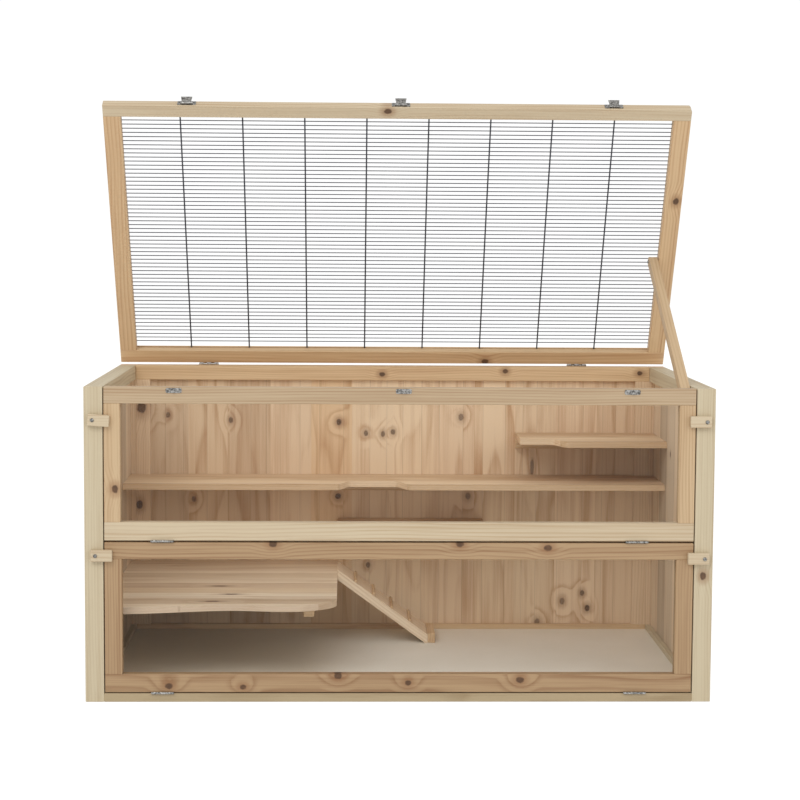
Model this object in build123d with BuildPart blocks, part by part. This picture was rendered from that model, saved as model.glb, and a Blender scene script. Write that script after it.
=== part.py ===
"""Wooden rodent cage with a wire lid held open by a strut and two fold-down doors.

Frame: X to the right, Y to the back, Z up, millimetres. The origin is on the floor, in the
middle of the cabinet's footprint. The lid stands open and both doors are shut.
"""
import os
from math import cos, degrees, hypot, radians, sin

from build123d import *

# Overall sizes of the cabinet
cage_w = 1150.0
cage_d = 600.0
cage_h = 580.0

# Timber sections
frame_w = 34.0            # face width of posts and of the back stiles' neighbours
post_d = 34.0             # depth of posts and of the rear rails
rail_h = 30.0             # height of the side and rear rails
back_stile_w = 30.0
door_t = 20.0             # thickness of door and lid frames
board_t = 12.0            # wall boards and shelves
ease = 0.8                # small bevel on every timber edge
groove_depth = 7.0
groove_play = 0.2         # each side of a board, pane or wire in its groove
board_pitch = 88.0        # aimed-for width of a wall board
fit_gap = 0.3             # between a loose piece and what holds it

# Butt hinges, all alike
hinge_len = 40.0
hinge_r = 2.2
pin_r = 1.0
pin_play = 0.05
pin_head_r = 1.9
pin_head_t = 0.8
leaf_t = 1.0
leaf_w = 16.0
knuckle_count = 5
knuckle_play = 0.3
door_hinge_x = 434.0
lid_hinge_x = 390.0

# Doors
base_rail_h = 16.0
seam_z = 298.0            # hinge axis of the upper door
door_side_gap = 2.0
upper_stile_w = 29.5
lower_stile_w = 31.5
door_top_rail = 30.5
door_bottom_rail = 33.5
pane_t = 2.0
middle_rail_h = 30.0
middle_rail_d = 20.0
door_back_gap = 1.0       # between a shut door and the rail behind it

# Lid
lid_open = 60.0           # degrees up from shut
lid_stile_w = 34.0
lid_free_rail = 25.0
lid_hinge_rail = 30.0
lid_corner = 6.0          # rounding of the right free corner
wire_d = 1.8
bar_d = 3.0
wire_depth = 17.0         # middle of the thin wires behind the lid's inner face
wire_pitch = 9.05
wire_clear_hinge = 14.0   # from the hinge rail to the first wire
wire_clear_free = 6.0     # from the free rail to the last wire
bar_pitch = 121.8
bar_count = 8

# Wooden turn buttons
button_l = 39.0
button_h = 21.0
button_t = 10.0
button_end = 8.5          # pivot from the outer end
button_pivot_in = 16.5    # pivot from the cabinet's side
upper_button_z = 520.0
lower_button_z = 268.0
button_tilt = 4.0         # the upper left one does not stand quite level
button_offset = 4.0       # the lower left one sits this much further in and up
screw_r = 1.75
screw_head_r = 3.6
screw_head_t = 1.8
screw_depth = 16.0
screw_play = 0.05

# Lid strut
strut_x = 18.0
strut_w = 20.0
strut_len = 472.0         # from the pivot to the foot
strut_pivot_s = 251.0     # along the lid from its hinged edge
strut_pivot_in = 5.0      # pivot behind the lid's inner face
washer_t = 1.4
washer_r = 6.0

# Shelves: top level, front edge, ends
long_shelf_z = 350.0
long_shelf_front = 109.0
long_notch = (-104.0, 18.0)     # middle of the notch's two slopes
high_shelf_z = 440.0
high_shelf_left = 258.0
high_shelf_front = 90.0
high_notch_end = 337.0
middle_shelf_z = 257.0
middle_shelf_ends = (-116.0, 190.0)
middle_shelf_front = 117.0
middle_notch_end = -70.0
notch_depth = 52.0
slope_half = 17.0
low_shelf_z = 166.0
low_shelf_right = -116.0
low_shelf_front = -256.0
low_hollow = (-290.0, 34.0)     # where the wavy front draws back most, and how far
low_bulge = (-208.0, 24.0)      # where it comes forward again before the rounded corner
low_corner = 90.0               # how far back the rounded corner ends
cleat = 20.0              # square battens that carry the shelves
low_batten_x = -169.0
low_batten_back = 78.0    # the open batten stops this far short of the front edge

# Floor and ramp
floor_top = 20.0
floor_t = 3.0
floor_batten_w = 34.0
floor_batten_x = 400.0
ramp_w = 108.0
ramp_front = 123.0
ramp_t = 17.0
ramp_proud = 6.0          # top of the ramp above the low shelf
ramp_foot_x = 70.0
ramp_foot_h = 17.0        # end of the ramp above the floor
tread_w = 6.0
tread_h = 5.0
tread_count = 4
tread_pitch = 46.0
stop_w = 15.0
stop_h = 20.0

# Toggle latches
latch_shift = 5.0
latch_pitch = 417.0
plate_t = 1.0
latch_plate_w = 36.0
latch_plate_h = 15.0
latch_plate_edge = 3.0    # from the lid's inner face to the plate
lever_w = 18.0
lever_l = 15.0
lever_t = 1.2
lever_lift = 16.0         # degrees off the plate
lever_tip = 22.0          # width of the lever's finger end
ear_r = 2.4
ear_w = 3.0
catch_w = 29.0
catch_h = 9.0
catch_drop = 6.5          # middle of the catch under the door's top edge
catch_hook = 8.0
catch_out = 4.5
small_screw_r = 1.2
small_head_r = 2.2
small_head_t = 0.9
small_screw_l = 11.0
plate_screw_in = 3.2      # small screws from the end of a plate

# Places that follow from the sizes above
half_w = cage_w / 2
front_y = -cage_d / 2
back_y = cage_d / 2
inner_x = half_w - frame_w
post_back = front_y + post_d
rear_face = back_y - post_d
wall_x = half_w - (frame_w + board_t) / 2
wall_y = back_y - (post_d + board_t) / 2
door_half = inner_x - door_side_gap
door_back = front_y + door_t
door_axis_y = front_y - hinge_r - fit_gap
base_axis_z = base_rail_h + leaf_t
lower_z0 = base_axis_z + leaf_t
door_reach = seam_z - leaf_t - base_axis_z
door_rise = hypot(door_reach, door_back - door_axis_y) - door_reach
lower_z1 = min(seam_z - hinge_r, seam_z - leaf_t - door_rise) - fit_gap
upper_z0 = seam_z + leaf_t
upper_z1 = cage_h
lid_axis_y = back_y + hinge_r + fit_gap
lid_axis_z = cage_h + leaf_t
lid_lean = radians(90.0 - lid_open)
lid_plane = Plane(
    origin=(0, lid_axis_y, lid_axis_z),
    x_dir=(1, 0, 0),
    z_dir=(0, -cos(lid_lean), -sin(lid_lean)),
)
lid_in = -leaf_t
lid_out = lid_in - door_t
lid_start = lid_axis_y - back_y
lid_end = lid_start + cage_d
latch_places = [latch_shift + k * latch_pitch for k in (-1, 0, 1)]
shelf_end = wall_x - groove_play
edge_plane = Plane(
    origin=lid_plane.from_local_coords((0, lid_end, lid_in - latch_plate_edge)),
    x_dir=(1, 0, 0),
    z_dir=lid_plane.y_dir,
)
shelf_back = wall_y - groove_play
corner_x = inner_x - back_stile_w - groove_play
corner_y = rear_face - groove_play


def keep(part, label):
    """Names a finished piece and writes its file."""
    part.label = label
    export_step(part, f"parts/{label}.step")


def bar(x, y, z, cuts=(), plane=Plane.XY, bevel=ease):
    """Straight timber between two corners, with bevelled edges and square cuts."""
    with BuildPart() as piece:
        with BuildSketch(plane.offset(z[0])):
            with Locations(((x[0] + x[1]) / 2, (y[0] + y[1]) / 2)):
                Rectangle(x[1] - x[0], y[1] - y[0])
        extrude(amount=z[1] - z[0])
        if bevel:
            chamfer(piece.edges(), bevel)
        for cut_x, cut_y, cut_z in cuts:
            with BuildSketch(plane.offset(cut_z[0])):
                with Locations(((cut_x[0] + cut_x[1]) / 2, (cut_y[0] + cut_y[1]) / 2)):
                    Rectangle(cut_x[1] - cut_x[0], cut_y[1] - cut_y[0])
            extrude(amount=cut_z[1] - cut_z[0], mode=Mode.SUBTRACT)
    return piece.part


def group(parts):
    """Several separate pieces of one kind, kept together under one name."""
    return Compound(children=list(parts))


def out(side, low, high):
    """An X range measured outwards from the middle, on the given side."""
    return (low, high) if side > 0 else (-high, -low)


def split_span(start, end, pitch):
    """Ranges of equal boards that fill a span edge to edge, as near the pitch as they go."""
    count = round((end - start) / pitch)
    width = (end - start) / count
    return [(start + i * width, start + (i + 1) * width) for i in range(count)]


def drilled(part, planes, radius, depth):
    """The part with round holes, each centred on its plane and running against its normal."""
    with BuildPart() as piece:
        add(part)
        for plane in planes:
            with BuildSketch(plane):
                Circle(radius)
            extrude(amount=-depth, mode=Mode.SUBTRACT)
    return piece.part


def screw(plane, shank_r, head_r, head_t, length):
    """Round-headed cross-slot screw: head on the plane, shank against its normal."""
    with BuildPart() as piece:
        with BuildSketch(plane):
            Circle(shank_r)
        extrude(amount=-length)
        with BuildSketch(plane):
            Circle(head_r)
        extrude(amount=head_t)
        rim = piece.edges().filter_by(GeomType.CIRCLE).sort_by(Axis(plane.origin, plane.z_dir))[-1]
        fillet(rim, head_t * 0.7)
        for turn in (0, 90):
            with BuildSketch(plane.offset(head_t)):
                Rectangle(head_r * 1.2, head_r * 0.25, rotation=turn)
            extrude(amount=-head_t * 0.45, mode=Mode.SUBTRACT)
    return piece.part


def button_spot(side, level):
    """Pivot of a turn button: its X and Z."""
    off = button_offset if (side < 0 and level == "lower") else 0
    z = upper_button_z if level == "upper" else lower_button_z
    return side * (half_w - button_pivot_in - off), z + off


def front_plane(x, y, z):
    """A plane at this point that faces the front."""
    return Plane(origin=(x, y, z), x_dir=(1, 0, 0), z_dir=(0, -1, 0))


def edge_spot(x, y, z=0.0):
    """A plane on the lid's free edge, facing away from it."""
    return Plane(origin=edge_plane.from_local_coords((x, y, z)), x_dir=(1, 0, 0), z_dir=edge_plane.z_dir)


# Screw places of the latches and their catches
latch_spots = []
catch_spots = []
for x_mid in latch_places:
    for side in (-1, 1):
        plate_x = x_mid + side * (latch_plate_w / 2 - plate_screw_in)
        latch_spots.append(edge_spot(plate_x, latch_plate_h * 0.7))
        catch_x = x_mid + side * (catch_w / 2 - plate_screw_in)
        catch_spots.append(front_plane(catch_x, front_y, cage_h - catch_drop))

os.makedirs("parts", exist_ok=True)

# Side walls: posts, rails and upright boards
wall_low = rail_h - groove_depth
wall_high = cage_h - rail_h + groove_depth
groove_half = board_t / 2 + groove_play
side_mid = wall_x + board_t / 2
back_mid = wall_y + board_t / 2
for side, name in ((-1, "left"), (1, "right")):
    post_x = out(side, inner_x, half_w)
    groove_x = out(side, side_mid - groove_half, side_mid + groove_half)
    spots = [button_spot(side, level) for level in ("upper", "lower")]
    button_holes = [front_plane(x, front_y, z) for x, z in spots]
    front_cut = (groove_x, (post_back - groove_depth, post_back + 1), (wall_low, wall_high))
    front_post = bar(post_x, (front_y, post_back), (0, cage_h), [front_cut])
    keep(drilled(front_post, button_holes, screw_r + screw_play, screw_depth), f"front_post_{name}")
    rear_cut = (groove_x, (rear_face - 1, rear_face + groove_depth), (wall_low, wall_high))
    keep(bar(post_x, (rear_face, back_y), (0, cage_h), [rear_cut]), f"rear_post_{name}")
    span = (post_back, rear_face)
    low_cut = (groove_x, (post_back - 1, rear_face + 1), (rail_h - groove_depth, rail_h + 1))
    keep(bar(post_x, span, (0, rail_h), [low_cut]), f"side_bottom_rail_{name}")
    top_z = cage_h - rail_h
    top_cut = (groove_x, (post_back - 1, rear_face + 1), (top_z - 1, top_z + groove_depth))
    keep(bar(post_x, span, (top_z, cage_h), [top_cut]), f"side_top_rail_{name}")
    board_x = out(side, wall_x, wall_x + board_t)
    start = post_back - groove_depth + groove_play
    boards = split_span(start, -start, board_pitch)
    board_z = (wall_low + groove_play, wall_high - groove_play)
    keep(group(bar(board_x, y, board_z, bevel=0) for y in boards), f"side_boards_{name}")

# Back wall: rails, stiles and upright boards
stile_in = inner_x - back_stile_w
back_groove = (back_mid - groove_half, back_mid + groove_half)
rail_cut_x = (-stile_in - groove_depth, stile_in + groove_depth)
low_cut = (rail_cut_x, back_groove, (rail_h - groove_depth, rail_h + 1))
keep(bar((-inner_x, inner_x), (rear_face, back_y), (0, rail_h), [low_cut]), "back_bottom_rail")
top_z = cage_h - rail_h
top_cut = (rail_cut_x, back_groove, (top_z - 1, top_z + groove_depth))
keep(bar((-inner_x, inner_x), (rear_face, back_y), (top_z, cage_h), [top_cut]), "back_top_rail")
back_stiles = []
for side in (-1, 1):
    stile_cut = (out(side, stile_in - 1, stile_in + groove_depth), back_groove, (0, cage_h))
    back_stiles.append(bar(out(side, stile_in, inner_x), (rear_face, back_y), (rail_h, top_z), [stile_cut]))
keep(group(back_stiles), "back_stiles")
board_end = stile_in + groove_depth - groove_play
board_z = (wall_low + groove_play, wall_high - groove_play)
boards = split_span(-board_end, board_end, board_pitch)
keep(group(bar(x, (wall_y, wall_y + board_t), board_z, bevel=0) for x in boards), "back_boards")

# Front rails of the cabinet
keep(bar((-inner_x, inner_x), (front_y, door_back), (0, base_rail_h)), "front_base_rail")
middle_y = (door_back + door_back_gap, door_back + door_back_gap + middle_rail_d)
middle_z = (seam_z - leaf_t - middle_rail_h, seam_z - leaf_t)
keep(bar((-inner_x, inner_x), middle_y, middle_z), "middle_rail")

# Floor
floor_y = (door_back + fit_gap, rear_face)
floor_z = (floor_top - floor_t, floor_top)
keep(bar((-inner_x, inner_x), floor_y, floor_z, bevel=0), "floor_sheet")
batten_half = floor_batten_w / 2
battens = [(x - batten_half, x + batten_half) for x in (-floor_batten_x, 0, floor_batten_x)]
keep(group(bar(x, floor_y, (0, floor_z[0])) for x in battens), "floor_battens")


# Shelves, cut from board with curved front edges
def shelf(top, edges):
    """Shelf below the given level, cut to the given outline."""
    with BuildPart() as board:
        with BuildSketch(Plane.XY.offset(top - board_t)):
            with BuildLine():
                add(edges)
            make_face()
        extrude(amount=board_t)
    return board.part


def slope(x, y0, y1):
    """Soft step of the front edge around x, from y0 to y1."""
    return Bezier((x - slope_half, y0), (x, y0), (x, y1), (x + slope_half, y1))


def rear_corner(side):
    """Outline points of a shelf's rear end, cut around the corner post and stile."""
    return [(side * shelf_end, corner_y), (side * corner_x, corner_y), (side * corner_x, shelf_back)]


def long_edges():
    front = long_shelf_front
    back = front + notch_depth
    left, right = long_notch
    outline = Polyline((left - slope_half, front), (-shelf_end, front), *rear_corner(-1),
                       *reversed(rear_corner(1)), (shelf_end, front), (right + slope_half, front))
    bottom = Line((left + slope_half, back), (right - slope_half, back))
    return [outline, slope(left, front, back), bottom, slope(right, back, front)]


def high_edges():
    front = high_shelf_front
    back = front + notch_depth
    outline = Polyline((high_notch_end - slope_half, back), (high_shelf_left, back),
                       (high_shelf_left, shelf_back), *reversed(rear_corner(1)), (shelf_end, front),
                       (high_notch_end + slope_half, front))
    return [outline, slope(high_notch_end, back, front)]


def middle_edges():
    front = middle_shelf_front
    back = front + notch_depth
    left, right = middle_shelf_ends
    outline = Polyline((middle_notch_end - slope_half, back), (left, back), (left, shelf_back),
                       (right, shelf_back), (right, front), (middle_notch_end + slope_half, front))
    return [outline, slope(middle_notch_end, back, front)]


def low_edges():
    front = low_shelf_front
    right = low_shelf_right
    corner = (right, front + low_corner)
    outline = Polyline((-shelf_end, front), *rear_corner(-1), (right, shelf_back), corner)
    hollow = (low_hollow[0], front + low_hollow[1])
    bulge = (low_bulge[0], front + low_bulge[1])
    wave = Spline((-shelf_end, front), hollow, bulge, tangents=((1, 0), (1, 0)))
    reach = (right + bulge[0]) / 2
    pull = (corner[1] + bulge[1]) / 2
    turn = Bezier(bulge, (reach, bulge[1]), (right, pull), corner)
    return [outline, wave, turn]


keep(shelf(long_shelf_z, long_edges()), "long_shelf")
keep(shelf(high_shelf_z, high_edges()), "high_shelf")
keep(shelf(middle_shelf_z, middle_edges()), "middle_shelf")
keep(shelf(low_shelf_z, low_edges()), "low_shelf")


def back_batten(top, ends):
    """Batten along the back wall under a shelf."""
    return bar(ends, (shelf_back - cleat, shelf_back), (top - board_t - cleat, top - board_t))


shelf_battens = [
    back_batten(long_shelf_z, (-corner_x, corner_x)),
    back_batten(high_shelf_z, (high_shelf_left, corner_x)),
    back_batten(middle_shelf_z, middle_shelf_ends),
    back_batten(low_shelf_z, (-corner_x, low_shelf_right)),
]
open_x = (low_batten_x - cleat / 2, low_batten_x + cleat / 2)
open_y = (low_shelf_front + low_batten_back, shelf_back - cleat)
open_z = (low_shelf_z - board_t - cleat, low_shelf_z - board_t)
shelf_battens.append(bar(open_x, open_y, open_z))
keep(group(shelf_battens), "shelf_battens")

# Ramp from the low shelf down to the floor
ramp_back = ramp_front + ramp_w
ramp_head = (low_shelf_right + groove_play, low_shelf_z + ramp_proud)
ramp_toe = (ramp_foot_x - groove_play, floor_top + ramp_foot_h)
ramp_run = ramp_toe[0] - ramp_head[0]
ramp_fall = ramp_head[1] - ramp_toe[1]
ramp_slope = hypot(ramp_run, ramp_fall)
ramp_drop = ramp_t * ramp_slope / ramp_run
under_x = ramp_head[0] + (ramp_head[1] - ramp_drop - floor_top) * ramp_run / ramp_fall
side_plane = Plane(origin=(0, ramp_front, 0), x_dir=(1, 0, 0), z_dir=(0, -1, 0))
with BuildPart() as ramp_board:
    with BuildSketch(side_plane):
        with BuildLine():
            Polyline(ramp_head, ramp_toe, (ramp_toe[0], floor_top), (under_x, floor_top),
                     (ramp_head[0], ramp_head[1] - ramp_drop), close=True)
        make_face()
    extrude(amount=-ramp_w)
keep(ramp_board.part, "ramp_board")
ramp_plane = Plane(
    origin=(ramp_head[0], ramp_front, ramp_head[1]),
    x_dir=(ramp_run, 0, -ramp_fall),
    z_dir=(ramp_fall, 0, ramp_run),
)
cleats = []
for k in range(tread_count):
    x = (k + 0.9) * tread_pitch
    cleats.append(bar((x, x + tread_w), (ease, ramp_w - ease), (0, tread_h), plane=ramp_plane))
stop_x = (ramp_foot_x, ramp_foot_x + stop_w)
cleats.append(bar(stop_x, (ramp_front, ramp_back), (floor_top, floor_top + stop_h)))
keep(group(cleats), "ramp_cleats")


# Doors: a grooved frame around a clear pane
def door(name, z0, z1, stile_w, holes=()):
    """Writes the rails, stiles and pane of one door between two levels."""
    y = (front_y, door_back)
    pane_mid = (front_y + door_back) / 2
    groove = (pane_mid - pane_t / 2 - groove_play, pane_mid + pane_t / 2 + groove_play)
    low = z0 + door_bottom_rail
    high = z1 - door_top_rail
    stile = door_half - stile_w
    cut_x = (-stile - groove_depth, stile + groove_depth)
    low_cut = (cut_x, groove, (low - groove_depth, low + 1))
    keep(bar((-door_half, door_half), y, (z0, low), [low_cut]), f"{name}_bottom_rail")
    top_cut = (cut_x, groove, (high - 1, high + groove_depth))
    top_rail = bar((-door_half, door_half), y, (high, z1), [top_cut])
    keep(drilled(top_rail, holes, small_screw_r + screw_play, small_screw_l), f"{name}_top_rail")
    stiles = []
    for side in (-1, 1):
        stile_cut = (out(side, stile - 1, stile + groove_depth), groove, (low - 1, high + 1))
        stiles.append(bar(out(side, stile, door_half), y, (low, high), [stile_cut]))
    keep(group(stiles), f"{name}_stiles")
    reach = groove_depth - groove_play
    pane_x = (-stile - reach, stile + reach)
    pane_y = (pane_mid - pane_t / 2, pane_mid + pane_t / 2)
    keep(bar(pane_x, pane_y, (low - reach, high + reach), bevel=0), f"{name}_pane")


door("lower_door", lower_z0, lower_z1, lower_stile_w)
door("upper_door", upper_z0, upper_z1, upper_stile_w, catch_spots)

# Lid: frame and wire grille, drawn shut and leaning on the hinge axis
lid_z = (lid_out, lid_in)
wire_z = lid_in - wire_depth
bar_z = wire_z + (wire_d + bar_d) / 2
wire_half = wire_d / 2 + groove_play
bar_half = bar_d / 2 + groove_play
hinge_rail_y = (lid_start, lid_start + lid_hinge_rail)
free_rail_y = (lid_end - lid_free_rail, lid_end)
bar_groove = (bar_z - bar_half, bar_z + bar_half)
cut = ((-inner_x, inner_x), (hinge_rail_y[1] - groove_depth, hinge_rail_y[1] + 1), bar_groove)
keep(bar((-half_w, half_w), hinge_rail_y, lid_z, [cut], lid_plane), "lid_hinge_rail")
cut = ((-inner_x, inner_x), (free_rail_y[0] - 1, free_rail_y[0] + groove_depth), bar_groove)
with BuildPart() as lid_free_rail_part:
    add(bar((-half_w, half_w), free_rail_y, lid_z, [cut], lid_plane))
    with BuildSketch(lid_plane.offset(lid_out)):
        with Locations((half_w - lid_corner / 2, lid_end - lid_corner / 2)):
            Rectangle(lid_corner, lid_corner)
        with Locations((half_w - lid_corner, lid_end - lid_corner)):
            Circle(lid_corner, mode=Mode.SUBTRACT)
    extrude(amount=door_t, mode=Mode.SUBTRACT)
rail = drilled(lid_free_rail_part.part, latch_spots, small_screw_r + screw_play, small_screw_l)
keep(rail, "lid_free_rail")
stile_y = (hinge_rail_y[1], free_rail_y[0])
strut_pivot_y = lid_start + strut_pivot_s
strut_pivot_z = lid_in - strut_pivot_in
pivot_plane = Plane(
    origin=lid_plane.from_local_coords((inner_x, strut_pivot_y, strut_pivot_z)),
    x_dir=lid_plane.z_dir,
    z_dir=(-1, 0, 0),
)
for side, name in ((-1, "left"), (1, "right")):
    stile_x = out(side, half_w - lid_stile_w, half_w)
    cut_x = out(side, half_w - lid_stile_w - 1, half_w - lid_stile_w + groove_depth)
    cut = (cut_x, (stile_y[0] - 1, stile_y[1] + 1), (wire_z - wire_half, wire_z + wire_half))
    stile = bar(stile_x, stile_y, lid_z, [cut], lid_plane)
    if side > 0:
        stile = drilled(stile, [pivot_plane], screw_r + screw_play, screw_depth)
    keep(stile, f"lid_stile_{name}")


def rod(plane, radius, length):
    """Round wire from the plane along its normal."""
    with BuildPart() as piece:
        with BuildSketch(plane):
            Circle(radius)
        extrude(amount=length)
    return piece.part


wire_end = half_w - lid_stile_w + groove_depth - fit_gap
first_wire = stile_y[0] + wire_clear_hinge
last_wire = stile_y[1] - wire_clear_free
wire_count = round((last_wire - first_wire) / wire_pitch) + 1
grille = []
for k in range(wire_count):
    s = first_wire + k * (last_wire - first_wire) / (wire_count - 1)
    start = lid_plane.from_local_coords((-wire_end, s, wire_z))
    grille.append(rod(Plane(origin=start, z_dir=(1, 0, 0)), wire_d / 2, 2 * wire_end))
bar_start = stile_y[0] - groove_depth + fit_gap
bar_len = stile_y[1] - stile_y[0] + 2 * (groove_depth - fit_gap)
for k in range(bar_count):
    x = (k - (bar_count - 1) / 2) * bar_pitch
    start = lid_plane.from_local_coords((x, bar_start, bar_z))
    grille.append(rod(Plane(origin=start, z_dir=lid_plane.y_dir), bar_d / 2, bar_len))
keep(group(grille), "lid_grille")

# Strut on the lid's right stile, square to the lid
strut_out = inner_x - washer_t - screw_play
strut_in = strut_out - strut_x
strut_plane = Plane(
    origin=lid_plane.from_local_coords((strut_in, strut_pivot_y, strut_pivot_z)),
    x_dir=lid_plane.z_dir,
    z_dir=(1, 0, 0),
)
with BuildPart() as strut:
    with BuildSketch(strut_plane):
        Circle(strut_w / 2)
        with Locations((strut_len / 2, 0)):
            Rectangle(strut_len, strut_w)
    extrude(amount=strut_x)
    chamfer(strut.faces().sort_by(Axis.X)[0].edges(), ease)
    chamfer(strut.faces().sort_by(Axis.X)[-1].edges(), ease)
    with BuildSketch(strut_plane):
        Circle(screw_r + screw_play)
    extrude(amount=strut_x, mode=Mode.SUBTRACT)
keep(strut.part, "strut")
head_plane = Plane(origin=strut_plane.origin - Vector(screw_play, 0, 0), x_dir=lid_plane.z_dir, z_dir=(-1, 0, 0))
strut_screw_l = inner_x - strut_in + screw_depth - fit_gap
with BuildPart() as strut_washer:
    with BuildSketch(pivot_plane):
        Circle(washer_r)
        Circle(screw_r + screw_play, mode=Mode.SUBTRACT)
    extrude(amount=washer_t)
strut_screw = screw(head_plane, screw_r, screw_head_r, screw_head_t, strut_screw_l)
keep(group([strut_screw, strut_washer.part]), "strut_screw")

# Turn buttons that hold the doors shut
button_back = front_y - fit_gap
button_front = button_back - button_t
button_screws = []
for side, side_name in ((-1, "left"), (1, "right")):
    for level in ("upper", "lower"):
        pivot_x, z = button_spot(side, level)
        tilt = button_tilt if (side < 0 and level == "upper") else 0
        plane = Plane(
            origin=(pivot_x, button_back, z),
            x_dir=(cos(radians(tilt)), 0, -sin(radians(tilt))),
            z_dir=(0, -1, 0),
        )
        body = bar(out(side, button_end - button_l, button_end), (-button_h / 2, button_h / 2),
                   (0, button_t), plane=plane)
        hole = Plane(origin=(pivot_x, button_front, z), x_dir=(1, 0, 0), z_dir=(0, -1, 0))
        button = drilled(body, [hole], screw_r + screw_play, button_t)
        keep(button, f"turn_button_{level}_{side_name}")
        head = hole.offset(screw_play)
        length = button_t + screw_depth - screw_play
        button_screws.append(screw(head, screw_r, screw_head_r, screw_head_t, length))
keep(group(button_screws), "turn_button_screws")


# Butt hinges: leaves with interlocking knuckles on a pin
def hinge_leaf(plane, x_mid, z, own, width):
    """Leaf beside the axis through the plane's origin, with every second knuckle."""
    pitch = hinge_len / knuckle_count
    across = Plane(origin=plane.origin, x_dir=plane.y_dir, z_dir=plane.x_dir)
    edge = hinge_r + fit_gap
    with BuildPart() as leaf:
        with BuildSketch(plane.offset(z[0])):
            with Locations((x_mid, edge + width / 2)):
                Rectangle(hinge_len, width)
        extrude(amount=z[1] - z[0])
        for k in range(own, knuckle_count, 2):
            start = x_mid - hinge_len / 2 + k * pitch + knuckle_play / 2
            with BuildSketch(across.offset(start)):
                Circle(hinge_r)
                with Locations((edge / 2, (z[0] + z[1]) / 2)):
                    Rectangle(edge + leaf_t, z[1] - z[0])
            extrude(amount=pitch - knuckle_play)
        with BuildSketch(across.offset(x_mid - hinge_len)):
            Circle(pin_r + pin_play)
        extrude(amount=2 * hinge_len, mode=Mode.SUBTRACT)
    return leaf.part


def hinge_pin(plane, x_mid):
    """Pin with a small head at each end of the barrel."""
    across = Plane(origin=plane.origin, x_dir=plane.y_dir, z_dir=plane.x_dir)
    with BuildPart() as pin:
        with BuildSketch(across.offset(x_mid - hinge_len / 2)):
            Circle(pin_r)
        extrude(amount=hinge_len)
        with BuildSketch(across.offset(x_mid - hinge_len / 2 - pin_head_t), across.offset(x_mid + hinge_len / 2)):
            Circle(pin_head_r)
        extrude(amount=pin_head_t)
    return pin.part


upper_axis = Plane(origin=(0, door_axis_y, seam_z), x_dir=(1, 0, 0), z_dir=(0, 0, 1))
lower_axis = Plane(origin=(0, door_axis_y, base_axis_z), x_dir=(1, 0, 0), z_dir=(0, 0, 1))
lid_axis = Plane(origin=(0, lid_axis_y, lid_axis_z), x_dir=(1, 0, 0), z_dir=(0, 1, 0))
lid_edge = Plane(origin=(0, lid_axis_y, lid_axis_z), x_dir=(1, 0, 0), z_dir=lid_plane.y_dir)
back_leaf_z = (-lid_start, leaf_t - lid_start)
lid_leaf_z = (lid_start - leaf_t, lid_start)
rail_leaf_w = middle_y[1] - front_y - ease
fixed_leaves = []
hinge_pins = []
moving = {"upper": [], "lower": [], "lid": []}
for side in (-1, 1):
    door_x = side * door_hinge_x
    lid_x = side * lid_hinge_x
    fixed_leaves.append(hinge_leaf(upper_axis, door_x, (-leaf_t, 0), 0, rail_leaf_w))
    fixed_leaves.append(hinge_leaf(lower_axis, door_x, (-leaf_t, 0), 0, leaf_w))
    fixed_leaves.append(hinge_leaf(lid_axis, lid_x, back_leaf_z, 0, leaf_w))
    moving["upper"].append(hinge_leaf(upper_axis, door_x, (0, leaf_t), 1, leaf_w))
    moving["lower"].append(hinge_leaf(lower_axis, door_x, (0, leaf_t), 1, leaf_w))
    moving["lid"].append(hinge_leaf(lid_edge, lid_x, lid_leaf_z, 1, leaf_w))
    hinge_pins.append(hinge_pin(upper_axis, door_x))
    hinge_pins.append(hinge_pin(lower_axis, door_x))
    hinge_pins.append(hinge_pin(lid_axis, lid_x))
keep(group(fixed_leaves), "hinge_fixed_leaves")
keep(group(hinge_pins), "hinge_pins")
keep(group(moving["upper"]), "upper_door_hinge_leaves")
keep(group(moving["lower"]), "lower_door_hinge_leaves")
keep(group(moving["lid"]), "lid_hinge_leaves")

# Toggle latches on the lid's free edge
ear_out = plate_t + ear_r + fit_gap
lever_angle = radians(lever_lift)
ear_start = lever_w / 2 + fit_gap
latch_plates = []
for x_mid, name in zip(latch_places, ("left", "middle", "right")):
    pin_plane = Plane(
        origin=edge_spot(x_mid, ear_r, ear_out).origin,
        x_dir=edge_plane.y_dir,
        z_dir=(1, 0, 0),
    )
    with BuildPart() as latch_plate:
        with BuildSketch(edge_spot(x_mid, latch_plate_h / 2)):
            RectangleRounded(latch_plate_w, latch_plate_h, 2 * plate_t)
        extrude(amount=plate_t)
        with BuildSketch(pin_plane.offset(ear_start), pin_plane.offset(-ear_start - ear_w)):
            Circle(ear_r)
            with Locations((0, -ear_out / 2)):
                Rectangle(ear_r, ear_out)
        extrude(amount=ear_w)
        with BuildSketch(pin_plane.offset(-ear_start - ear_w)):
            Circle(pin_r)
        extrude(amount=2 * (ear_start + ear_w))
    latch_plates.append(latch_plate.part)
    finger_plane = Plane(
        origin=pin_plane.origin,
        x_dir=(1, 0, 0),
        z_dir=pin_plane.y_dir * cos(lever_angle) - pin_plane.x_dir * sin(lever_angle),
    )
    with BuildPart() as latch_lever:
        with BuildSketch(pin_plane.offset(-lever_w / 2)):
            Circle(ear_r)
        extrude(amount=lever_w)
        with BuildSketch(finger_plane.offset(ear_r - lever_t)):
            with BuildLine():
                Polyline((-lever_w / 2, 0), (lever_w / 2, 0), (lever_tip / 2, lever_l),
                         (-lever_tip / 2, lever_l), close=True)
            make_face()
        extrude(amount=lever_t)
        with BuildSketch(pin_plane.offset(-lever_w)):
            Circle(pin_r + pin_play)
        extrude(amount=2 * lever_w, mode=Mode.SUBTRACT)
    keep(latch_lever.part, f"latch_lever_{name}")
latch_hole = small_screw_r + screw_play
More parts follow.
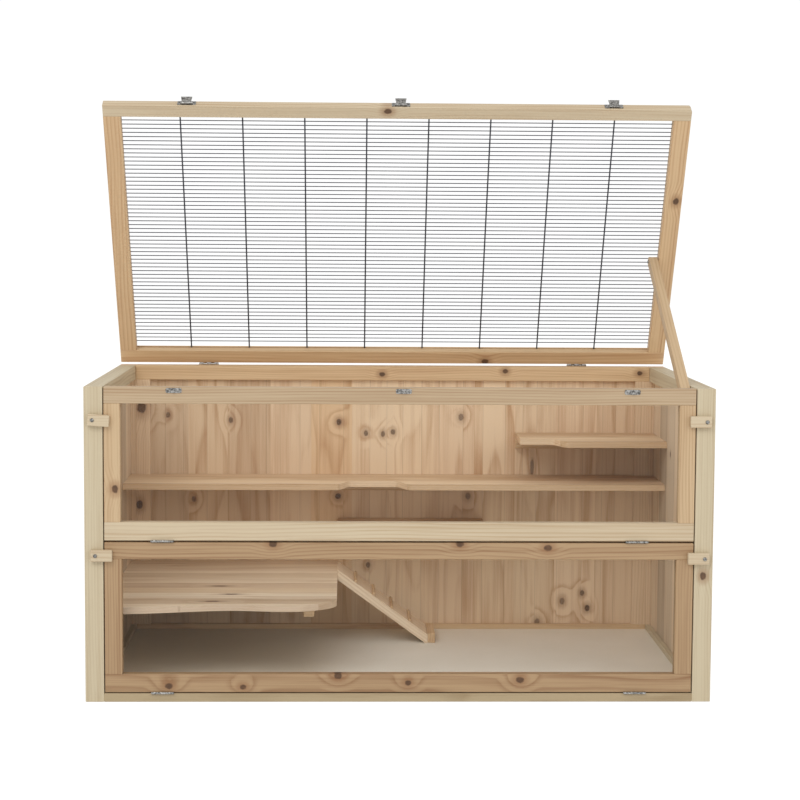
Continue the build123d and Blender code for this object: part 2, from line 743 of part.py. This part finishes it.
plate_tops = [spot.offset(plate_t) for spot in latch_spots]
keep(drilled(group(latch_plates), plate_tops, latch_hole, plate_t), "latch_plates")
latch_shank = small_screw_l + plate_t - fit_gap
latch_screws = [screw(top, small_screw_r, small_head_r, small_head_t, latch_shank) for top in plate_tops]
keep(group(latch_screws), "latch_screws")

# Catches on the upper door that the latches pull down to
catches = []
for x_mid in latch_places:
    face = front_plane(x_mid, front_y, cage_h - catch_drop)
    with BuildPart() as catch:
        with BuildSketch(face):
            RectangleRounded(catch_w, catch_h, catch_h / 3)
        extrude(amount=plate_t)
        with BuildSketch(face):
            Rectangle(catch_hook, plate_t)
        extrude(amount=catch_out)
        with BuildSketch(face.offset(catch_out - plate_t)):
            with Locations((0, -catch_h / 8)):
                Rectangle(catch_hook, catch_h / 4 + plate_t)
        extrude(amount=plate_t)
        for side in (-1, 1):
            with BuildSketch(front_plane(x_mid + side * (catch_w / 2 - plate_screw_in), front_y - plate_t,
                                         cage_h - catch_drop)):
                Circle(latch_hole)
            extrude(amount=-plate_t, mode=Mode.SUBTRACT)
    catches.append(catch.part)
keep(group(catches), "latch_catches")
catch_tops = [spot.offset(plate_t) for spot in catch_spots]
catch_screws = [screw(top, small_screw_r, small_head_r, small_head_t, latch_shank) for top in catch_tops]
keep(group(catch_screws), "catch_screws")
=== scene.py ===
"""Looks, light and camera for the wooden rodent cage."""
from math import cos, radians, sin

import bpy
from mathutils import Matrix, Vector


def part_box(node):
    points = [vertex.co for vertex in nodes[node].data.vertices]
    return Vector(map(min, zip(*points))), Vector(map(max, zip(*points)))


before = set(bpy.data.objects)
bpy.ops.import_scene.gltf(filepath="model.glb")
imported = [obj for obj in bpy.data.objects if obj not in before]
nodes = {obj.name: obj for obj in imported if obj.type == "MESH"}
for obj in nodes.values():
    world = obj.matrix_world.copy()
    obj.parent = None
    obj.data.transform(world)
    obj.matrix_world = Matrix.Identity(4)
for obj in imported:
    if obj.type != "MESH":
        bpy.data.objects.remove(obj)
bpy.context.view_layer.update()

# Directions in the row frame
X = Vector((1, 0, 0))
Y = Vector((0, 1, 0))
Z = Vector((0, 0, 1))
LID_LEAN = radians(30)
UP_LID = Vector((0, -sin(LID_LEAN), cos(LID_LEAN)))
INTO_LID = Vector((0, -cos(LID_LEAN), -sin(LID_LEAN)))
RAMP_RUN = 182.6
RAMP_FALL = 138
DOWN_RAMP = Vector((RAMP_RUN, 0, -RAMP_FALL)).normalized()

# Camera, from the photograph's perspective
IMAGE_PX = 800
FOCAL_PX = 1955.0
SENSOR_MM = 36
PLACE = Vector((-0.102, -3.837, 0.863))
PITCH = radians(4.93)
YAW = radians(1.62)
ROLL = radians(0.36)
ahead = Vector((sin(YAW) * cos(PITCH), cos(YAW) * cos(PITCH), -sin(PITCH)))
level_right = Vector((cos(YAW), -sin(YAW), 0))
level_up = level_right.cross(ahead)
right = level_right * cos(ROLL) + level_up * sin(ROLL)
up = level_up * cos(ROLL) - level_right * sin(ROLL)

# Knot kinds as half length, half width, both in metres, and depth of tone
KNOT_KINDS = {
    "small": (0.0065, 0.005, 0.8),
    "middle": (0.008, 0.006, 0.7),
    "large": (0.011, 0.009, 0.9),
    "dark": (0.007, 0.006, 1.0),
    "drawn_out": (0.02, 0.004, 0.7),
    "streak": (0.014, 0.0045, 1.0),
    "long_streak": (0.016, 0.0045, 1.0),
    "stile_large": (0.013, 0.01, 1.0),
    "stile_small": (0.01, 0.007, 1.0),
}

# Faces that the knots are traced to, each a point on it and its normal
BACK_FACE = (Vector((0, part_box("back_boards")[0][1], 0)), Y)
FRONT_FACE = (Vector((0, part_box("upper_door_stiles")[0][1], 0)), Y)
LID_FACE = (Vector((0, 0.29, 0.6)), INTO_LID)
STREAK_LEVEL = (Vector((0, 0, 0.178)), Z)


def traced(points, face, along, across, depth=None):
    """Knots from photograph pixels read off, as (along, across, long, wide, depth) in metres."""
    point, normal = face
    found = []
    for px, py, kind in points:
        ray = ahead + right * ((px - IMAGE_PX / 2) / FOCAL_PX) - up * ((py - IMAGE_PX / 2) / FOCAL_PX)
        hit = PLACE + ray * ((point - PLACE).dot(normal) / ray.dot(normal))
        long, wide, own_depth = KNOT_KINDS[kind]
        found.append((hit.dot(along), hit.dot(across), long, wide, depth or own_depth))
    return found


def linear(r, g, b):
    """A shader colour from the 0 to 255 values it should show."""
    def one(c):
        c = c / 255
        return c / 12.92 if c <= 0.04045 else ((c + 0.055) / 1.055) ** 2.4
    return (one(r), one(g), one(b), 1)


class Shader:
    """A material's node tree, written as short calls that return sockets."""

    def __init__(self, name):
        self.material = bpy.data.materials.new(name)
        self.material.use_nodes = True
        self.tree = self.material.node_tree
        self.tree.nodes.clear()
        self.out = self.tree.nodes.new("ShaderNodeOutputMaterial")

    def put(self, socket, value):
        """Sets a socket to a number, colour or vector, or links it."""
        if isinstance(value, bpy.types.NodeSocket):
            self.tree.links.new(value, socket)
        else:
            socket.default_value = value

    def node(self, kind, result=0, inputs=(), **settings):
        n = self.tree.nodes.new("ShaderNode" + kind)
        for key, value in settings.items():
            setattr(n, key, value)
        for key, value in dict(inputs).items():
            self.put(n.inputs[key], value)
        return n.outputs[result]

    def math(self, operation, a, b=0.0, c=0.0):
        return self.node("Math", inputs={0: a, 1: b, 2: c}, operation=operation)

    def add(self, a, b):
        return self.math("ADD", a, b)

    def sub(self, a, b):
        return self.math("SUBTRACT", a, b)

    def mul(self, a, b):
        return self.math("MULTIPLY", a, b)

    def step(self, value, low, high):
        """Smooth step from 0 at low to 1 at high; low may be above high."""
        if low < high:
            return self.node("MapRange", inputs={0: value, 1: low, 2: high}, interpolation_type="SMOOTHSTEP")
        flipped = self.node("MapRange", inputs={0: value, 1: high, 2: low}, interpolation_type="SMOOTHSTEP")
        return self.sub(1.0, flipped)

    def dot(self, vector, direction):
        return self.node("VectorMath", 1, {0: vector, 1: tuple(direction)}, operation="DOT_PRODUCT")

    def vector(self, x, y, z):
        return self.node("CombineXYZ", inputs={0: x, 1: y, 2: z})

    def noise(self, vector, scale=1.0, detail=2.0, rough=0.5):
        inputs = {"Vector": vector, "Scale": scale, "Detail": detail, "Roughness": rough}
        return self.node("TexNoise", 0, inputs)

    def mix(self, factor, a, b, blend="MIX"):
        n = self.tree.nodes.new("ShaderNodeMix")
        n.data_type = "RGBA"
        n.blend_type = blend
        n.clamp_factor = True
        self.put(n.inputs[0], factor)
        self.put(n.inputs[6], a)
        self.put(n.inputs[7], b)
        return n.outputs[2]

    def ramp(self, value, stops, interpolation="LINEAR"):
        n = self.tree.nodes.new("ShaderNodeValToRGB")
        n.color_ramp.interpolation = interpolation
        while len(n.color_ramp.elements) < len(stops):
            n.color_ramp.elements.new(1.0)
        for element, (place, colour) in zip(n.color_ramp.elements, stops):
            element.position = place
            element.color = colour
        self.put(n.inputs[0], value)
        return n.outputs[0]

    def bump(self, height, strength, distance):
        return self.node("Bump", 0, {"Height": height, "Strength": strength, "Distance": distance})

    def surface(self, **inputs):
        sockets = {key.replace("_", " "): value for key, value in inputs.items()}
        made = self.node("BsdfPrincipled", 0, sockets)
        self.tree.links.new(made, self.out.inputs[0])
        return self.material


RING_PITCH = 0.0048
PITH_DEPTH = 0.035
RING_WAVE = 0.026
STRIPS_PER_METRE = 24.0
GREY_WEIGHTS = (0.33, 0.33, 0.33)
SEAM_TONE = linear(118, 84, 56)
KNOT_HALO = linear(140, 96, 60)
KNOT_DARK = linear(50, 32, 20)
KNOT_PALE = linear(106, 72, 44)
# Painted shade for the faces that look to the front
FRONT_SHADE_TONE = linear(150, 112, 76)


def random_per(s, number, offset):
    """A random value from 0 to 1 that stays the same over each whole number."""
    return s.node("TexWhiteNoise", 0, {"W": s.add(number, offset)}, noise_dimensions="1D")


def grained(s, along, across, through, u_scale, v_scale, detail, rough=0.5):
    """Noise that is drawn out along the grain."""
    place = s.vector(s.mul(along, u_scale), s.mul(across, v_scale), s.mul(through, v_scale))
    return s.noise(place, detail=detail, rough=rough)


def knot_fields(s, place, u, v, knots):
    """Where the knots' cores and rims are, how far they push the rings, and their ragged tone."""
    ragged = s.noise(place, scale=160, detail=2)
    cores, rims, pushes = [], [], []
    for along, side, long, wide, depth in knots:
        du = s.math("DIVIDE", s.sub(u, along), long)
        dv = s.math("DIVIDE", s.sub(v, side), wide)
        far = s.math("SQRT", s.add(s.mul(du, du), s.mul(dv, dv)))
        far = s.add(far, s.mul(s.sub(ragged, 0.5), 0.55))
        cores.append(s.mul(s.step(far, 1.15, 0.7), depth))
        rims.append(s.mul(s.step(far, 2.9, 0.9), depth))
        pushes.append(s.mul(s.step(far, 6.0, 0.5), wide * 1.1))
    core = cores[0]
    halo = rims[0]
    push = pushes[0]
    for k in range(1, len(cores)):
        core = s.math("MAXIMUM", core, cores[k])
        halo = s.math("MAXIMUM", halo, rims[k])
        push = s.add(push, pushes[k])
    return core, halo, push, ragged


def softwood(name, grain, across, light, dark, seed=0, pith=PITH_DEPTH, figure=0.42,
             boards=None, tints=None, knots=(), front_shade=0.0):
    """Planed softwood: growth rings around a pith, fibres, blotches, board tints and knots.

    boards is (start, width) along the across direction; knots are (along, across, long, wide, depth);
    the front shade amount is painted shade: it darkens the faces that look to the front.
    """
    s = Shader(name)
    place = s.node("TexCoord", 3)
    u = s.dot(place, grain)
    v = s.dot(place, across)
    w = s.dot(place, grain.cross(across))
    if boards:
        start, width = boards
        index = s.math("FLOOR", s.math("DIVIDE", s.sub(v, start), width))
        random = random_per(s, index, seed * 7.31)
        other = random_per(s, index, seed * 3.17 + 40.5)
        centre = s.add(s.mul(s.add(index, 0.5), width), start)
        v_own = s.sub(v, s.add(centre, s.mul(s.sub(random, 0.5), 0.06)))
        u_own = s.add(u, s.mul(random, 5.3))
        w_own = s.add(w, s.mul(other, 0.05))
        strips = {"W": s.add(v, seed * 0.37), "Scale": STRIPS_PER_METRE}
        strip = s.node("TexVoronoi", 1, strips, voronoi_dimensions="1D")
        strip_edge = s.node("TexVoronoi", 0, strips, voronoi_dimensions="1D", feature="DISTANCE_TO_EDGE")
        strip_tone = s.mul(s.sub(s.dot(strip, GREY_WEIGHTS), 0.5), 0.8)
        u_own = s.add(u_own, s.mul(strip_tone, 4.0))
    else:
        v_own = s.add(v, ((seed * 0.618) % 1 - 0.5) * 0.05)
        u_own = s.add(u, (seed * 1.37) % 5)
        w_own = s.add(w, (seed * 0.377) % 0.03)
    own = (u_own, v_own, w_own)
    long_wave = grained(s, *own, 1.7, 7, detail=2)
    streak = grained(s, *own, 1.3, 75, detail=5, rough=0.62)
    fibre = grained(s, *own, 7, 420, detail=3, rough=0.6)
    blotch = grained(s, *own, 1.6, 11, detail=3)

    # Growth rings, pushed aside by knots
    deep = s.add(w_own, pith)
    radius = s.math("SQRT", s.add(s.mul(v_own, v_own), s.mul(deep, deep)))
    radius = s.add(radius, s.mul(s.sub(long_wave, 0.5), RING_WAVE))
    if knots:
        core, halo, push, ragged = knot_fields(s, place, u, v, knots)
        radius = s.add(radius, push)
    turns = s.math("DIVIDE", radius, RING_PITCH)
    shades = [(0.0, 0.25), (0.12, 0.0), (0.5, 0.08), (0.9, 1.0), (1.0, 0.25)]
    late = s.ramp(s.math("FRACT", turns), [(at, (shade, shade, shade, 1)) for at, shade in shades])
    late = s.mul(late, s.add(0.35, s.mul(random_per(s, s.math("FLOOR", turns), 0.0), 0.65)))

    # Colour, from pale early wood to dark late wood
    amount = s.add(0.05, s.mul(late, figure * 1.5))
    for pattern, weight in ((streak, 1.5), (blotch, 0.6), (fibre, 0.8)):
        amount = s.add(amount, s.mul(s.sub(pattern, 0.5), weight))
    if boards:
        amount = s.add(amount, strip_tone)
    colour = s.mix(amount, light, dark)
    if boards:
        colour = s.mix(s.mul(s.step(strip_edge, 0.02, 0.0), 0.3), colour, SEAM_TONE)
        count = len(tints)
        which = s.math("DIVIDE", s.add(index, 0.5), count)
        tint = s.ramp(which, [(k / count, tone) for k, tone in enumerate(tints)], "CONSTANT")
        colour = s.mix(1.0, colour, tint, "MULTIPLY")
    if knots:
        colour = s.mix(s.mul(halo, 0.5), colour, KNOT_HALO)
        colour = s.mix(s.mul(core, 0.92), colour, s.mix(ragged, KNOT_DARK, KNOT_PALE))
    # Painted shade: faces that look to the front are darkened towards a brown
    if front_shade:
        front_shade_mask = s.step(s.dot(s.node("NewGeometry", 1), -Y), 0.3, 0.9)
        colour = s.mix(s.mul(front_shade_mask, front_shade), colour, FRONT_SHADE_TONE)
    height = s.add(s.mul(late, -0.35), s.mul(fibre, 0.8))
    shine = s.add(0.56, s.mul(s.sub(streak, 0.5), 0.25))
    return s.surface(Base_Color=colour, Roughness=shine, Normal=s.bump(height, 0.1, 0.0003))


def plated(name, tone, rough):
    """Zinc plating, mottled between a dark and a bright tone."""
    s = Shader(name)
    place = s.node("TexCoord", 3)
    mottle = s.noise(place, scale=260, detail=3, rough=0.55)
    colour = s.mix(s.step(mottle, 0.2, 0.8), tone, linear(196, 195, 192))
    dull = s.add(rough, s.mul(s.sub(mottle, 0.5), 0.3))
    return s.surface(Base_Color=colour, Metallic=1.0, Roughness=dull, Normal=s.bump(mottle, 0.1, 0.0002))


def coated_wire(name):
    """Dark coated wire, a little uneven in gloss."""
    s = Shader(name)
    place = s.node("TexCoord", 3)
    mottle = s.noise(place, scale=300, detail=3)
    colour = s.mix(mottle, linear(42, 46, 55), linear(76, 80, 90))
    return s.surface(Base_Color=colour, Roughness=s.add(0.3, s.mul(mottle, 0.2)), Metallic=0.35,
                     Normal=s.bump(mottle, 0.08, 0.0002))


def coated_sheet(name):
    """Pale coated floor sheet with a faint speckle, and painted shade that browns it under the low shelf."""
    s = Shader(name)
    place = s.node("TexCoord", 3)
    speckle = s.noise(place, scale=900, detail=2)
    soil = s.noise(place, scale=5, detail=5, rough=0.6)
    colour = s.mix(soil, linear(246, 242, 232), linear(228, 222, 208))
    colour = s.mix(s.mul(s.step(speckle, 0.6, 0.72), 0.3), colour, linear(180, 172, 158))
    # Painted shade: the floor browns towards the corner under the low shelf, where its shadow falls
    under_shelf_shade = s.mul(s.step(s.dot(place, X), -0.08, -0.2), s.step(s.dot(place, Y), -0.22, -0.1))
    colour = s.mix(s.mul(under_shelf_shade, 0.3), colour, linear(150, 132, 96))
    return s.surface(Base_Color=colour, Roughness=s.add(0.38, s.mul(soil, 0.18)),
                     Normal=s.bump(speckle, 0.05, 0.0002))


def clear_pane(name):
    """Clear sheet: mostly see-through, with the sheen of a smooth face."""
    s = Shader(name)
    place = s.node("TexCoord", 3)
    film = s.noise(place, scale=7, detail=4)
    return s.surface(Base_Color=(0.3, 0.31, 0.31, 1), Roughness=s.add(0.03, s.mul(film, 0.05)),
                     Alpha=0.025, IOR=1.45)


# Softwood tones
POST = linear(201, 188, 160), linear(168, 146, 112)
DOOR_TOP = linear(188, 166, 136), linear(154, 120, 86)
DOOR_LOW = linear(176, 147, 112), linear(134, 97, 64)
STILE = linear(200, 174, 138), linear(158, 118, 80)
LID_RAIL = linear(204, 188, 160), linear(172, 142, 106)
LID_STILE = linear(212, 182, 142), linear(170, 124, 84)
BOARD = linear(240, 219, 190), linear(200, 162, 124)
SHELF = linear(240, 220, 192), linear(204, 170, 132)
LOW_SHELF = linear(252, 240, 220), linear(222, 198, 168)
REAR_POST = linear(222, 196, 164), linear(182, 146, 110)
BASE = linear(178, 160, 128), linear(148, 126, 94)
HIDDEN = linear(214, 186, 146), linear(172, 132, 90)


# Knots by the pixel of the photograph that each is at, read off
BACK_KNOTS = traced([
    (142, 407, "large"), (168, 415, "small"), (231, 420, "small"), (339, 422, "dark"), (366, 433, "small"),
    (383, 434, "small"), (393, 432, "small"), (461, 417, "middle"), (338, 496, "dark"), (468, 496, "middle"),
    (194, 499, "small"), (137, 504, "small"), (368, 565, "small"), (562, 601, "middle"), (582, 593, "small"),
    (587, 608, "dark"), (537, 622, "middle"), (532, 467, "drawn_out"),
], BACK_FACE, Z, X)
BACK_STILE_KNOTS = traced([(142, 407, "stile_large"), (140, 504, "stile_small")], BACK_FACE, Z, X)
BACK_RAIL_KNOTS = traced([(505, 371, "small"), (382, 374, "small"), (639, 373, "small")],
                         BACK_FACE, X, Z, 1.0)
POST_KNOTS = traced([(703, 576, "middle")], FRONT_FACE, Z, X, 1.0)
UPPER_STILE_KNOTS = traced([(115, 489, "middle")], FRONT_FACE, Z, X, 1.0)
LOWER_TOP_KNOTS = traced([(273, 544, "middle"), (460, 544, "middle"), (548, 548, "middle")],
                         FRONT_FACE, X, Z, 1.0)
LOWER_BOTTOM_KNOTS = traced([(169, 686, "middle"), (243, 687, "small"), (338, 676, "middle"),
                             (408, 683, "small"), (520, 680, "middle")], FRONT_FACE, X, Z, 1.0)
LID_HINGE_KNOTS = traced([(485, 362, "middle")], LID_FACE, X, UP_LID, 1.0)
LID_FREE_KNOTS = traced([(388, 112, "middle")], LID_FACE, X, UP_LID, 1.0)
LID_STILE_KNOTS = traced([(676, 202, "middle")], LID_FACE, UP_LID, X, 1.0)
LOW_SHELF_KNOTS = traced([(220, 580, "long_streak"), (231, 588, "streak"), (212, 595, "streak"),
                          (186, 602, "streak")], STREAK_LEVEL, X, Y)
SIDE_KNOTS = [(0.31, -0.12, 0.006, 0.005, 1), (0.42, 0.05, 0.005, 0.004, 1)]

# Board rows as (start, width) across the grain
BACK_ROW = (-0.5178, 0.0863)
SIDE_ROW = (-0.2728, 0.09093)
SHELF_ROW = (-0.27, 0.055)

# Tints that the boards of a row are multiplied with, from the first board on
SIDE_TINTS = [linear(c, c, c) for c in (236, 214, 244, 226, 206, 238)]
BACK_TINTS = [linear(*c) for c in (
    (222, 214, 206), (232, 224, 214), (222, 212, 202), (238, 230, 222), (236, 222, 204), (244, 238, 230),
    (246, 240, 232), (242, 234, 226), (246, 240, 232), (240, 234, 226), (246, 240, 234), (238, 230, 222))]
SHELF_TINTS = [linear(*c) for c in (
    (246, 240, 232), (226, 214, 200), (250, 246, 240), (236, 224, 208), (222, 206, 190),
    (244, 236, 226), (232, 220, 204), (248, 240, 230), (238, 228, 214), (226, 212, 196))]


def give(material, *names):
    """Puts one material on these CAD nodes."""
    for name in names:
        node = nodes[name]
        node.data.materials.clear()
        node.data.materials.append(material)


for k, side in enumerate(("left", "right")):
    give(softwood(f"post_{side}", Z, X, *POST, seed=11 + k, pith=0.05, figure=0.35,
                  knots=POST_KNOTS if side == "right" else ()), f"front_post_{side}")
    give(softwood(f"rear_post_{side}", Z, X, *REAR_POST, seed=21 + k, pith=0.05, figure=0.35),
         f"rear_post_{side}")
    give(softwood(f"side_rail_{side}", Y, X, *POST, seed=31 + k, figure=0.35),
         f"side_top_rail_{side}", f"side_bottom_rail_{side}")
    give(softwood(f"side_boards_{side}", Z, Y, *BOARD, seed=41 + k, boards=SIDE_ROW, tints=SIDE_TINTS,
                  figure=0.4, knots=SIDE_KNOTS), f"side_boards_{side}")
give(softwood("back_boards", Z, X, *BOARD, seed=5, boards=BACK_ROW, tints=BACK_TINTS, figure=0.5,
              knots=BACK_KNOTS), "back_boards")
give(softwood("back_rails", X, Z, *LID_STILE, seed=6, figure=0.35, knots=BACK_RAIL_KNOTS),
     "back_top_rail", "back_bottom_rail")
give(softwood("back_stiles", Z, X, *REAR_POST, seed=7, figure=0.35, knots=BACK_STILE_KNOTS), "back_stiles")
give(softwood("middle_rail", X, Z, *HIDDEN, seed=8), "middle_rail")
give(softwood("base_rail", X, Z, *BASE, seed=9, figure=0.35), "front_base_rail")
give(softwood("floor_battens", Y, X, *HIDDEN, seed=10), "floor_battens")
give(coated_sheet("floor_sheet"), "floor_sheet")

for k, name in enumerate(("long_shelf", "high_shelf", "middle_shelf", "low_shelf")):
    low = name == "low_shelf"
    # Painted shade darkens the shelves' front faces, most on the low shelf
    give(softwood(name, X, Y, *(LOW_SHELF if low else SHELF), seed=51 + k, boards=SHELF_ROW,
                  tints=SHELF_TINTS, figure=0.4, knots=LOW_SHELF_KNOTS if low else (),
                  front_shade=0.45 if low else 0.15), name)
give(softwood("shelf_battens", X, Z, *HIDDEN, seed=60), "shelf_battens")
give(softwood("ramp_board", DOWN_RAMP, Y, *SHELF, seed=61), "ramp_board")
give(softwood("ramp_cleats", Y, X, *LID_STILE, seed=62), "ramp_cleats")

for k, (door, tone, bottom, side_tone) in enumerate((("upper_door", DOOR_TOP, LID_RAIL, STILE),
                                                     ("lower_door", DOOR_LOW, DOOR_LOW, DOOR_LOW))):
    lower = door == "lower_door"
    give(softwood(f"{door}_top", X, Z, *tone, seed=71 + k, figure=0.45,
                  knots=LOWER_TOP_KNOTS if lower else ()), f"{door}_top_rail")
    give(softwood(f"{door}_bottom", X, Z, *bottom, seed=81 + k, figure=0.45,
                  knots=LOWER_BOTTOM_KNOTS if lower else ()), f"{door}_bottom_rail")
    give(softwood(f"{door}_sides", Z, X, *side_tone, seed=91 + k, figure=0.4,
                  knots=() if lower else UPPER_STILE_KNOTS), f"{door}_stiles")
    give(clear_pane(f"{door}_clear"), f"{door}_pane")

give(softwood("lid_rail_free", X, UP_LID, *LID_RAIL, seed=101, figure=0.35, knots=LID_FREE_KNOTS),
     "lid_free_rail")
give(softwood("lid_rail_hinge", X, UP_LID, *LID_STILE, seed=102, figure=0.4, knots=LID_HINGE_KNOTS),
     "lid_hinge_rail")
for k, side in enumerate(("left", "right")):
    give(softwood(f"lid_side_{side}", UP_LID, X, *LID_STILE, seed=103 + k, figure=0.45,
                  knots=LID_STILE_KNOTS if side == "right" else ()), f"lid_stile_{side}")
give(coated_wire("grille_wire"), "lid_grille")
give(softwood("strut", INTO_LID, UP_LID, *STILE, seed=111, figure=0.3), "strut")
for k, name in enumerate(("upper_left", "upper_right", "lower_left", "lower_right")):
    give(softwood(f"button_{name}", X, Z, *LID_RAIL, seed=121 + k, figure=0.3), f"turn_button_{name}")

plating = plated("zinc", linear(70, 68, 66), 0.26)
give(plating, "hinge_fixed_leaves", "hinge_pins", "upper_door_hinge_leaves", "lower_door_hinge_leaves",
     "lid_hinge_leaves", "latch_plates", "latch_catches", "latch_lever_left", "latch_lever_middle",
     "latch_lever_right")
give(plated("screw_zinc", linear(40, 38, 35), 0.4), "turn_button_screws", "strut_screw", "latch_screws",
     "catch_screws")

# Floor and light
FLOOR_SIDE = 30
FLOOR_PALE = (0.88, 0.88, 0.88, 1)
FLOOR_GLOW = 1.12
GLOW_SHARE = 0.9
SKY_TONE = (1.0, 0.985, 0.965, 1)
SKY_LIGHT = 0.82
SEEN_WHITE = 1.03
WHITE = (1, 1, 1, 1)
bpy.ops.mesh.primitive_plane_add(size=FLOOR_SIDE, location=(0, 0, 0))
floor = bpy.context.object
floor.name = "studio_floor"
s = Shader("studio_floor")
path = s.tree.nodes.new("ShaderNodeLightPath")
through = s.math("MAXIMUM", path.outputs["Is Glossy Ray"], path.outputs["Is Transmission Ray"])
seen = s.math("MAXIMUM", path.outputs["Is Camera Ray"], through)
matt = s.node("BsdfDiffuse", inputs={"Color": FLOOR_PALE})
glow = s.node("Emission", inputs={"Color": WHITE, "Strength": FLOOR_GLOW})
s.put(s.out.inputs[0], s.node("MixShader", inputs={0: s.mul(seen, GLOW_SHARE), 1: matt, 2: glow}))
floor.data.materials.append(s.material)

world = bpy.data.worlds.new("studio")
bpy.context.scene.world = world
world.use_nodes = True
tree = world.node_tree
tree.nodes.clear()
out = tree.nodes.new("ShaderNodeOutputWorld")
back = tree.nodes.new("ShaderNodeBackground")
soft = tree.nodes.new("ShaderNodeBackground")
mixer = tree.nodes.new("ShaderNodeMixShader")
path = tree.nodes.new("ShaderNodeLightPath")
most = tree.nodes.new("ShaderNodeMath")
most.operation = "MAXIMUM"
tree.links.new(path.outputs["Is Camera Ray"], most.inputs[0])
tree.links.new(path.outputs["Is Transmission Ray"], most.inputs[1])
tree.links.new(most.outputs[0], mixer.inputs[0])
soft.inputs[0].default_value = SKY_TONE
soft.inputs[1].default_value = SKY_LIGHT
back.inputs[0].default_value = WHITE
back.inputs[1].default_value = SEEN_WHITE
tree.links.new(soft.outputs[0], mixer.inputs[1])
tree.links.new(back.outputs[0], mixer.inputs[2])
tree.links.new(mixer.outputs[0], out.inputs[0])


def area_light(name, place, aim, size, energy, colour):
    """Soft rectangular lamp that points at aim."""
    lamp = bpy.data.lights.new(name, "AREA")
    lamp.shape = "RECTANGLE"
    lamp.size, lamp.size_y = size
    lamp.energy = energy
    lamp.color = colour
    rig = bpy.data.objects.new(name, lamp)
    rig.location = place
    rig.rotation_euler = (Vector(aim) - Vector(place)).to_track_quat("-Z", "Y").to_euler()
    bpy.context.scene.collection.objects.link(rig)


MIDDLE = (0, 0, 0.4)
area_light("key", place=(-1.6, -3.2, 3.4), aim=MIDDLE, size=(2.4, 2.0), energy=54, colour=(1.0, 0.985, 0.96))
area_light("fill", place=(2.6, -2.6, 1.8), aim=MIDDLE, size=(2.0, 2.0), energy=16, colour=(1.0, 0.99, 0.98))

# Camera
lens = bpy.data.cameras.new("camera")
lens.sensor_width = SENSOR_MM
lens.lens = FOCAL_PX / IMAGE_PX * SENSOR_MM
camera = bpy.data.objects.new("camera", lens)
camera.matrix_world = Matrix.Translation(PLACE) @ Matrix((right, up, -ahead)).transposed().to_4x4()
bpy.context.scene.collection.objects.link(camera)
bpy.context.scene.camera = camera
bpy.context.scene.view_settings.view_transform = "Standard"
